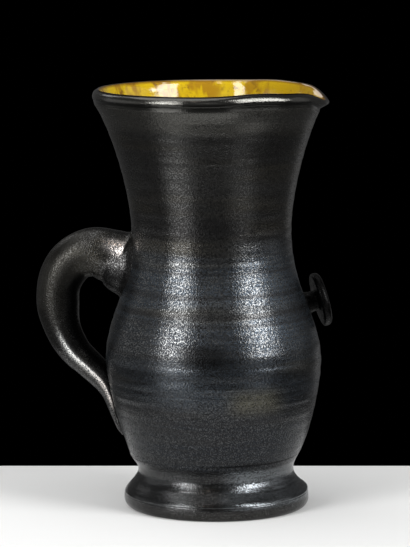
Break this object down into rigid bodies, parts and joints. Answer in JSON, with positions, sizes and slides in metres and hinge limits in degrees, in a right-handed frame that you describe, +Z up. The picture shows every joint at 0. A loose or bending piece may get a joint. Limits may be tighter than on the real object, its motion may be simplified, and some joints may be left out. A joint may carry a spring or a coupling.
{
  "type": "pitcher",
  "caption": "Thrown stoneware pitcher with a flared pedestal foot, a rolled side handle, a pinched pouring lip, a small side knob and a yellow glazed inside.",
  "frame": {"origin": "on the table plane, under the middle of the pitcher's bounding box", "axes": "+Z up, +X towards the spout, -X towards the handle, +Y to the left of someone who looks from the handle towards the spout"},
  "size_m": [0.1852, 0.1436, 0.2617],
  "materials": {
    "black_lustre_glaze": "dark metallic lustre glaze, fine-grained, with throwing lines",
    "yellow_glaze": "glossy mottled yellow glaze"
  },
  "bodies": {
    "root": {"thrown_body": "black_lustre_glaze", "pedestal_foot": "black_lustre_glaze", "handle": "black_lustre_glaze", "pouring_knob": "black_lustre_glaze", "interior_glaze": "yellow_glaze"}
  },
  "joints": []
}
